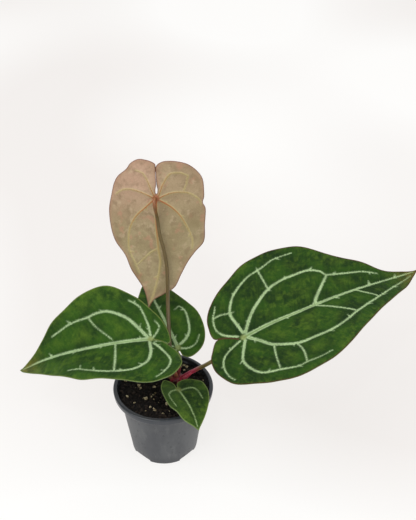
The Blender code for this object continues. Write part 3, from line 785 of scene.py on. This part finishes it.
# The left leaf arches out and down over the pot, folded along its midrib, and is a
# fresher green with a pale margin.
leaf_left = dict(
    base=(-10.4, -5.7, 144), heading=184, pitch=-2, roll=-15, bend=36, bend_length=135,
    sway=-3, fold=0.42, curl=0.05, width=55, stalk_side=-1, wave=0.8, lap=-1.2, seed=23, step=1.15,
    left=[(-3, 1.4), (-10, 4.3), (-15, 9.3), (-24, 20), (-28, 33), (-28, 41), (-22, 51),
          (-15, 57), (-2, 61), (12, 60), (27, 55), (43, 49), (61, 45), (75, 38), (92, 29),
          (115, 16), (134, 6), (141, 0)],
    right=[(-3, 0.4), (-10, 3.2), (-15, 7.6), (-19, 4), (-18, -5), (-14, -14), (-8, -22), (0, -30),
           (10, -40), (24, -50), (36, -55), (49, -55), (63, -51), (77, -44), (93, -33),
           (108, -20), (119, -11), (131, -5), (141, 0)],
    veins=[(4.0, 1.4, [(0, 0), (30, 0), (60, 0), (95, -1), (120, -1), (137, 0)]),
           (2.6, 0.9, [(3, -3), (12, -13), (22, -23), (38, -31), (50, -31), (58, -29),
                       (69, -28), (79, -26), (90, -22), (97, -20)]),
           (1.0, 0.6, [(58, -29), (51, -18), (37, -4)]),
           (1.8, 0.7, [(0, -4), (1, -12), (5, -24), (9, -32), (18, -39)]),
           (1.2, 0.6, [(-2, -1), (-7, -7), (-9, -12), (-5, -17)]),
           (2.6, 0.8, [(1, 4), (0, 17), (2, 29), (7, 36), (15, 41), (24, 42), (33, 41),
                       (42, 39), (55, 34), (69, 28), (78, 27)]),
           (1.3, 1.5, [(34, 2), (33, 21), (33, 39)]),
           (2.2, 0.7, [(-3, 6), (-10, 16), (-17, 29), (-17, 39), (-11, 49), (-4, 55)]),
           (1.1, 0.6, [(-4, 3), (-13, 6), (-21, 15)]),
           (0.9, 0.5, [(66, 29), (66, 24)])])
velvet_left = velvet_leaf("velvet_fresh_green", srgb(22, 49, 10), srgb(42, 75, 15),
                          srgb(78, 105, 28), srgb(152, 175, 130), srgb(90, 104, 48), (104.0, 146.0), 0.6)
make_leaf("blade_left", leaf_left, "leaf_left", velvet_left, dull_green)


# The newest leaf hangs nearly upright behind, still thin and coppery, and shows its
# underside: pinkish tan, with raised straw-coloured veins that redden at the joint.
leaf_new = dict(
    base=(-6.3, 95, 239), heading=-86, pitch=-67, roll=11, bend=-8, bend_length=120,
    sway=-5, fold=-0.05, curl=0.12, width=50, stalk_side=1, wave=0.8, lap=0.7, seed=5, step=1.0,
    left=[(-5, 1.5), (-9, 2.0), (-14, 1.0), (-24, 0.85), (-32, 1.6), (-36, 7), (-37, 14), (-36, 24),
          (-33, 33), (-26, 41), (-17, 46), (-2, 47), (5, 45.5), (12, 48), (28, 47), (44, 46),
          (54, 38), (64, 31), (76, 25), (89, 19), (96, 9), (102, -1), (111, -6)],
    right=[(-5, 0), (-9, -0.1), (-14, 0.75), (-24, 0.55), (-32, 0.9), (-35, -0.5), (-38, -7), (-39, -16),
           (-35, -24), (-29, -29), (-22, -38), (-14, -43), (-3, -46), (12, -49), (28, -48),
           (44, -43), (58, -32), (73, -25), (90, -13), (103, -8), (111, -6)],
    veins=[(2.8, 1.0, [(0, 0), (27, 0), (51, 2), (63, 4), (77, 2.5), (95, -1.5), (106, -5)]),
           (1.7, 0.7, [(2, -3), (9, -11), (18, -21), (29, -27), (41, -29), (52, -28),
                       (64, -22), (75, -17)]),
           (1.9, 0.8, [(2, 4), (8, 14), (17, 23), (29, 30), (41, 35), (50, 35)]),
           (1.4, 0.7, [(-1, -3), (-6, -14), (-9, -25), (-8, -34), (-4, -41)]),
           (1.4, 0.7, [(-1, 4), (-5, 14), (-6, 25), (-4, 34), (2, 42), (7, 44)]),
           (1.4, 0.6, [(-3, -2), (-16, -7), (-25, -12), (-28, -19)]),
           (1.4, 0.7, [(-3, 3), (-15, 8), (-24, 15), (-25, 25), (-22, 32)]),
           (1.0, 0.7, [(50, 2), (54, -6), (66, -19)]),
           (0.9, 0.7, [(-22, 32), (-14, 30), (-6, 27)])])


def young_underside():
    """Thin satin tissue, pinker at the top left, browner at the right and down the middle."""
    made, tree, shader = new_material("coppery_underside", srgb(150, 134, 104), 0.5, {
        "Sheen Weight": 0.05, "Specular IOR Level": 0.35})
    flat = attribute(tree, "flat", "Vector")
    gap = attribute(tree, "vein")
    edge = attribute(tree, "margin")
    halves = node(tree, "SeparateXYZ", {"Vector": flat})
    broad = ramp(tree, noise_value(tree, flat, 0.045, 3.0), 0.32, 0.66)
    blotch = noise_value(tree, flat, 0.09, 3.0, 0.55)
    upward = times(tree, ramp(tree, halves.outputs["X"], 40.0, -24.0),
                   ramp(tree, halves.outputs["Y"], 12.0, -12.0, 0.35, 1.0))
    paler = ramp(tree, noise_value(tree, flat, 0.10, 3.0, 0.6), 0.54, 0.70, 0.0, 0.45)
    rosy = ramp(tree, noise_value(tree, flat, 0.07, 2.0, 0.6), 0.56, 0.70, 0.0, 0.4)
    tissue = node(tree, "TexVoronoi", {"Vector": flat, "Scale": 0.26}, feature="DISTANCE_TO_EDGE")
    centre = reach_of(tree, flat)
    torn = sums(tree, "SUBTRACT", noise_value(tree, flat, 0.5, 4.0, 0.7), 0.5)
    torn = plus(tree, gap, times(tree, torn, 3.0))
    straw = blend(tree, ramp(tree, centre, 60.0, 8.0), srgb(152, 128, 76), srgb(148, 84, 44))
    core = times(tree, ramp(tree, gap, 0.1, -0.5), ramp(tree, centre, 90.0, 25.0, 0.35, 0.9))
    coats(tree, shader, blend(tree, broad, srgb(128, 114, 80), srgb(146, 132, 98)),
          (upward, srgb(166, 136, 112)),
          (ramp(tree, blotch, 0.47, 0.66, 0.0, 0.55), srgb(112, 92, 64)),
          (paler, srgb(176, 156, 126)),
          (rosy, srgb(168, 116, 94)),
          (ramp(tree, tissue.outputs["Distance"], 0.09, 0.0, 0.0, 0.22), srgb(112, 96, 64)),
          (ramp(tree, edge, 5.0, 0.8, 0.0, 0.35), srgb(150, 114, 90)),
          (ramp(tree, torn, 1.5, -0.4, 0.0, 0.62), srgb(166, 154, 102)),
          (core, straw),
          (ramp(tree, centre, 5.5, 2.0, 0.0, 0.8), srgb(146, 76, 42)),
          (ramp(tree, edge, 0.9, 0.4, 0.0, 0.85), srgb(104, 62, 46)))
    relief = plus(tree, ramp(tree, gap, 0.8, -0.6), times(tree, blotch, 0.6))
    bump(tree, shader, relief, 0.7, 0.0007)
    return made


young_top = velvet_leaf("coppery_upper_face", srgb(92, 62, 44), srgb(118, 84, 58),
                        srgb(140, 104, 72), srgb(196, 172, 128), srgb(120, 70, 54), (90.0, 120.0), 0.5)
make_leaf("blade_new_upright", leaf_new, "leaf_new_upright",
          young_underside(), young_top)


# A smaller leaf of the same velvety green lies behind the stalks, on a short stalk of
# its own, and its tip runs under the new leaf.
leaf_back = dict(
    base=(15, 16.3, 114), heading=115, pitch=22, roll=-5, bend=25, bend_length=85,
    sway=0, fold=0.15, curl=0.08, width=35, stalk_side=-1, wave=0.5, lap=0, seed=31, step=1.1,
    left=[(-4, 1), (-8, 3), (-9, 9), (-6, 17), (1, 25), (12, 32), (26, 34), (42, 31),
          (56, 25), (68, 18), (80, 10), (90, 4), (100, -3)],
    right=[(-4, -0.4), (-10, -1.2), (-14, -7), (-12, -16), (-6, -25), (4, -31), (17, -34),
           (32, -34), (46, -30), (60, -24), (74, -19), (88, -11), (100, -3)],
    veins=[(3.2, 1.0, [(0, 0), (25, 0), (50, 0), (75, -1), (96, -3)]),
           (2.4, 0.8, [(3, -4), (6, -11), (12, -17), (19, -20), (28, -22), (37, -23),
                       (45, -20), (43, -14)]),
           (1.5, 0.6, [(-2, -3), (-4, -8), (-4, -14), (-1, -20), (5, -25)]),
           (1.7, 0.7, [(3, 4), (8, 12), (16, 19), (30, 23), (48, 21), (66, 13)]),
           (1.2, 0.6, [(-2, 3), (-4, 9), (-1, 17), (6, 24)])])
make_leaf("blade_back", leaf_back, "leaf_back", velvet_left, dull_green)


# The smallest leaf bends over the rim in front, dark in the middle and yellow-green
# round its edge.
leaf_front = dict(
    base=(15.7, -16.4, 88), heading=-57, pitch=-3, roll=-11, bend=31, bend_length=50,
    sway=-5, fold=0.25, curl=0.06, width=24, stalk_side=-1, wave=0.35, lap=0, seed=41, step=0.8,
    left=[(-3, 1), (-7, 2.5), (-9, 7), (-8, 15), (-4, 21), (2, 26), (9, 26), (15, 25),
          (24, 21), (31, 16), (38, 10), (44, 4), (49, -1)],
    right=[(-3, -0.5), (-8, 0), (-12, -1.5), (-15, -5), (-15, -9), (-8, -16), (0, -20),
           (10, -22), (19, -22), (26, -18), (34, -16), (39, -12), (44, -6), (49, -1)],
    veins=[(1.6, 0.7, [(0, 0), (15, 0), (30, 0), (45, -1)]),
           (1.0, 0.4, [(2, 3), (3, 9), (7, 15), (20, 16)]),
           (1.0, 0.4, [(0, -3), (2, -11), (8, -16), (20, -15)])])
velvet_front = velvet_leaf("velvet_young_green", srgb(24, 46, 16), srgb(50, 78, 24),
                           srgb(92, 120, 38), srgb(142, 166, 112), srgb(108, 126, 66), (46.0, 60.0), 0.85)
make_leaf("blade_front_small", leaf_front, "leaf_front_small", velvet_front,
          dull_green)


# Each leaf stands on one round, solid stalk that swells to a knee under the blade. The
# stalks rise from the crown: olive, green, or the new one's brown.
joint_gap = 0.3
half_blade = 0.4
knee = 9.0
knee_swell = 1.12


def stalk_curve(name, leaf, route, foot_radius, top_radius):
    """The stalk's curve, ending square under the blade."""
    under = leaf_axes(leaf)[2] * leaf["stalk_side"]
    joint = np.array(leaf["base"]) + under * (vein_relief + half_blade + joint_gap)
    knots = [np.array(p, float) for p in route] + [joint + under * knee, joint]
    curve = bpy.data.curves.new(name, "CURVE")
    curve.dimensions = "3D"
    curve.bevel_depth = 1.0
    curve.bevel_resolution = 6
    curve.resolution_u = 18
    curve.use_fill_caps = True
    spline = curve.splines.new("BEZIER")
    spline.bezier_points.add(len(knots) - 1)
    for i, point in enumerate(knots):
        share = i / (len(knots) - 1)
        radius = foot_radius + (top_radius - foot_radius) * share
        if i >= len(knots) - 2:
            radius *= knee_swell
        knot = spline.bezier_points[i]
        knot.co = Vector(point) * MM
        knot.handle_left_type = knot.handle_right_type = "AUTO"
        knot.radius = radius * MM
    return curve


def make_stalk(name, leaf, route, foot_radius, top_radius, finish):
    """The stalk as a mesh, with how far up it each point lies kept as an attribute."""
    curve = stalk_curve(name, leaf, route, foot_radius, top_radius)
    holder = bpy.data.objects.new(name + "_curve", curve)
    scene.collection.objects.link(holder)
    bpy.context.view_layer.update()
    graph = bpy.context.evaluated_depsgraph_get()
    mesh = bpy.data.meshes.new_from_object(holder.evaluated_get(graph))
    line = []
    knots = curve.splines[0].bezier_points
    for one, two in zip(knots[:-1], knots[1:]):
        line += geometry.interpolate_bezier(one.co, one.handle_right, two.handle_left, two.co, 12)
    bpy.data.objects.remove(holder)
    tidy(mesh, 70.0)
    points = np.array([tuple(v.co) for v in mesh.vertices]) / MM
    path = np.array([tuple(p) for p in line]) / MM
    keep = np.concatenate([[True], np.linalg.norm(np.diff(path, axis=0), axis=1) > 1e-4])
    run = nearest(points, path[keep])[1]
    keep_value(mesh, "run", run)
    piece = link_piece(name.replace("stalk", "leafstalk"), mesh, finish)
    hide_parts(name)
    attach(piece, "root")


def stalk_finish(name, foot, body, top, foot_ends, dark, red_from=900.0):
    """Smooth skin, finely streaked. The foot's colour gives way to the body's between the
    two heights of foot_ends, in millimetres up the stalk, and reddens from red_from on."""
    made, tree, shader = new_material(name, body, 0.42)
    run = attribute(tree, "run")
    place = node(tree, "TexCoord").outputs["Object"]
    streak = noise_value(tree, stretched(tree, place, 0.18), 900.0, 3.0)
    uneven = times(tree, sums(tree, "SUBTRACT", noise_value(tree, place, 130.0), 0.5), 14.0)
    high = plus(tree, run, uneven)
    coats(tree, shader, foot,
          (ramp(tree, high, *foot_ends), body),
          (ramp(tree, high, foot_ends[1] + 10.0, foot_ends[1] + 90.0), top),
          (ramp(tree, high, red_from, red_from + 14.0, 0.0, 0.8), srgb(136, 80, 42)),
          (ramp(tree, streak, 0.45, 0.75, 0.0, 0.5), dark))
    bump(tree, shader, streak, 0.25, 0.0003)
    return made


olive_skin = stalk_finish("olive_stalk_skin", srgb(176, 50, 80), srgb(98, 86, 44),
                          srgb(88, 96, 44), (18.0, 34.0), srgb(74, 58, 34))
green_skin = stalk_finish("green_stalk_skin", srgb(150, 58, 68), srgb(92, 96, 46),
                          srgb(98, 112, 56), (6.0, 18.0), srgb(68, 66, 34))
brown_skin = stalk_finish("brown_stalk_skin", srgb(162, 104, 74), srgb(74, 60, 24),
                          srgb(86, 70, 29), (14.0, 40.0), srgb(54, 38, 18), 184.0)
make_stalk("stalk_right", leaf_right, [(18, 11.5, 77.5), (23.5, 10.8, 83), (33, 7, 93), (49, -4, 114),
                                       (67, -6, 132)], 2.3, 1.7, olive_skin)
make_stalk("stalk_left", leaf_left, [(9.3, 9.8, 77.5), (6, 2, 89), (0, -6, 108), (-8, -8.5, 130)],
           2.1, 1.6, green_skin)
make_stalk("stalk_new_upright", leaf_new,
           [(13.2, 12.2, 77.5), (11.4, 7.5, 89), (8.6, -0.5, 104), (7.3, 8, 119), (6.3, 22, 127),
            (5, 42, 145), (4.7, 53, 166), (3.7, 61.5, 183), (0.9, 68, 197.5), (-2.5, 74.4, 209),
            (-4.7, 81.5, 222)], 2.2, 1.5, brown_skin)
make_stalk("stalk_back", leaf_back, [(14.6, 16.2, 77.5), (16.3, 18.8, 87), (16.5, 19, 100)],
           1.7, 1.3, green_skin)
make_stalk("stalk_front_small", leaf_front, [(14.4, 7.4, 77.5), (15.5, -2, 82), (15.4, -11, 84)],
           1.5, 1.1, green_skin)


# The crown is the short stem at soil level. Crimson bud sheaths, pointed and a little
# ribbed, stand round the feet of the stalks.
rib_depth = 0.07


def sheath_finish():
    """Crimson skin, paler ribs, browned by the soil."""
    made, tree, shader = new_material("crimson_sheath", srgb(168, 44, 72), 0.4)
    place = node(tree, "TexCoord").outputs["Object"]
    rib = noise_value(tree, stretched(tree, place, 0.15), 1100.0, 3.0)
    cloud = noise_value(tree, place, 170.0)
    height = node(tree, "SeparateXYZ", {"Vector": place}).outputs["Z"]
    coats(tree, shader, srgb(160, 38, 58),
          (ramp(tree, cloud, 0.35, 0.65), srgb(206, 84, 100)),
          (ramp(tree, rib, 0.5, 0.75, 0.0, 0.5), srgb(214, 108, 124)),
          (ramp(tree, height, soil_top + 0.0090, soil_top + 0.0060, 0.0, 0.85), srgb(64, 38, 30)))
    bump(tree, shader, rib, 0.4, 0.0004)
    return made


def crown_part(name, rings, sides):
    """A closed skin over rings of points, capped at both ends."""
    points = [tuple(p) for ring in rings for p in ring]
    faces = [[i * sides + k, i * sides + (k + 1) % sides, (i + 1) * sides + (k + 1) % sides,
              (i + 1) * sides + k] for i in range(len(rings) - 1) for k in range(sides)]
    faces += [list(range(sides))[::-1], [(len(rings) - 1) * sides + k for k in range(sides)]]
    mesh = bpy.data.meshes.new(name)
    mesh.from_pydata(points, [], faces)
    return mesh


def sheath_rings(radius, height, ribs, sides, steps):
    """A pointed, ribbed bud sheath, a little fuller than a cone."""
    rings = []
    for i in range(steps + 1):
        t = i / steps
        girth = radius * (1 - t) ** 0.85 + 0.00045
        ring = []
        for a in (2 * math.pi * k / sides for k in range(sides)):
            reach = girth * (1 + rib_depth * math.cos(ribs * a))
            ring.append(Vector((reach * math.cos(a), reach * 0.86 * math.sin(a), height * t)))
        rings.append(ring)
    return rings


def stem_rings(sides):
    """The knobbly stem top: a low dome with leaf scars round it."""
    rings = []
    for radius, height in ((0.0042, -0.0084), (0.0046, -0.004), (0.0052, 0.0), (0.0062, 0.0040),
                           (0.0068, 0.0044), (0.0070, 0.0052), (0.0064, 0.0062), (0.0048, 0.0070),
                           (0.0024, 0.0073), (0.0004, 0.0073)):
        ring = []
        for k in range(sides):
            a = 2 * math.pi * k / sides
            lump = 1 + 0.05 * noise.noise(Vector((math.cos(a) * 2, math.sin(a) * 2, height * 400)))
            ring.append(crown_place + Vector((radius * lump * 1.08 * math.cos(a),
                                              radius * lump * math.sin(a), soil_top + height)))
        rings.append(ring)
    return rings


shape = bmesh.new()
shape.from_mesh(crown_part("stem_top", stem_rings(36), 36))
for x, y, lean, turn, height, radius, ribs in (
        (19.5, 8.3, 42, -10, 16.5, 2.0, 7), (10.8, 15, 12, 150, 14, 2.0, 6), (17, 5.8, 14, -70, 9, 1.6, 5),
        (7.2, 12.5, 24, 175, 12, 1.9, 6), (8.8, 6, 20, 215, 9, 1.7, 5)):
    bud = crown_part("bud", sheath_rings(radius * MM, height * MM, ribs, 24, 14), 24)
    tilt = (Matrix.Translation((x * MM, y * MM, soil_top + 0.0055))
            @ Matrix.Rotation(math.radians(turn), 4, "Z") @ Matrix.Rotation(math.radians(lean), 4, "Y"))
    bud.transform(tilt)
    shape.from_mesh(bud)
crown = link_piece("stem_and_sheaths", mesh_from("stem_and_sheaths", shape), sheath_finish())
tidy(crown.data, 50.0)
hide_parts("crown")
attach(crown, "root")
